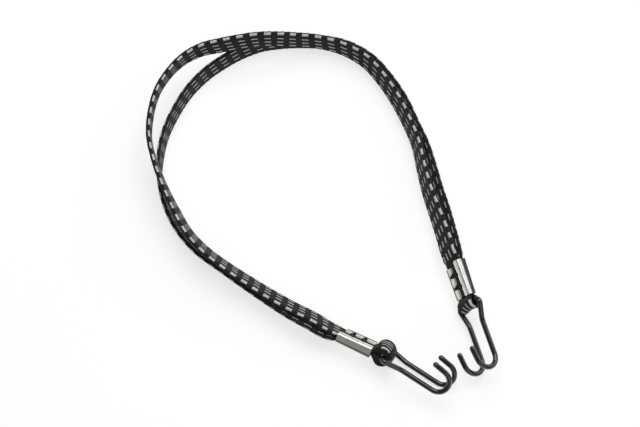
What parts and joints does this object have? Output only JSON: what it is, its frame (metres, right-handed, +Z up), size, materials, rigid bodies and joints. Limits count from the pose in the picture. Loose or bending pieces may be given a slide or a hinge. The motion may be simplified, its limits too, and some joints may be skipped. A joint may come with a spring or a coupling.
{
  "type": "bungee cord",
  "caption": "Flat woven elastic strap lying in a loop, its doubled band crimped at each end by a folded metal clip round a swinging double wire hook, for holding loads down.",
  "frame": {"origin": "middle of the bounding box at table height", "axes": "+Z up from the table, the hooks' ends of the strap towards -Y, the right hook towards +X"},
  "size_m": [0.258, 0.2882, 0.0356],
  "materials": {
    "webbing": "woven black cover with grey-white dashes",
    "rubber": "natural rubber thread",
    "plated_steel": "bright plated sheet steel",
    "coated_wire": "glossy black coated wire"
  },
  "bodies": {
    "strap": {"upper_strand_cover": "webbing", "upper_strand_rubber_thread_1": "rubber", "upper_strand_rubber_thread_2": "rubber", "upper_strand_rubber_thread_3": "rubber", "upper_strand_rubber_thread_4": "rubber", "upper_strand_rubber_thread_5": "rubber", "lower_strand_cover": "webbing", "lower_strand_rubber_thread_1": "rubber", "lower_strand_rubber_thread_2": "rubber", "lower_strand_rubber_thread_3": "rubber", "lower_strand_rubber_thread_4": "rubber", "lower_strand_rubber_thread_5": "rubber", "left_eye_cover": "webbing", "left_eye_rubber_thread_1": "rubber", "left_eye_rubber_thread_2": "rubber", "left_eye_rubber_thread_3": "rubber", "left_eye_rubber_thread_4": "rubber", "left_eye_rubber_thread_5": "rubber", "left_clip": "plated_steel"},
    "left_hook": {"left_hook": "coated_wire"},
    "right_end": {"right_eye_cover": "webbing", "right_eye_rubber_thread_1": "rubber", "right_eye_rubber_thread_2": "rubber", "right_eye_rubber_thread_3": "rubber", "right_eye_rubber_thread_4": "rubber", "right_eye_rubber_thread_5": "rubber", "right_clip": "plated_steel"},
    "right_hook": {"right_hook": "coated_wire"}
  },
  "joints": [
    {"name": "left_hook_swing", "type": "hinge", "parent": "strap", "child": "left_hook", "pos_m": [0.04819, -0.11319, 0.01176], "axis": [-0.2918, -0.5729, 0.7659], "range_deg": [-140, 145]},
    {"name": "band_stretch", "type": "slide", "parent": "strap", "child": "right_end", "axis": [0.3223, -0.9466, 0], "range_m": [0, 0.3], "stiffness_N_per_m": 330, "deforming": ["upper_strand_cover", "upper_strand_rubber_thread_1", "upper_strand_rubber_thread_2", "upper_strand_rubber_thread_3", "upper_strand_rubber_thread_4", "upper_strand_rubber_thread_5", "lower_strand_cover", "lower_strand_rubber_thread_1", "lower_strand_rubber_thread_2", "lower_strand_rubber_thread_3", "lower_strand_rubber_thread_4", "lower_strand_rubber_thread_5"]},
    {"name": "right_hook_swing", "type": "hinge", "parent": "right_end", "child": "right_hook", "pos_m": [0.10899, -0.07519, 0.01576], "axis": [-0.5127, -0.0554, -0.8568], "range_deg": [-150, 140]}
  ]
}
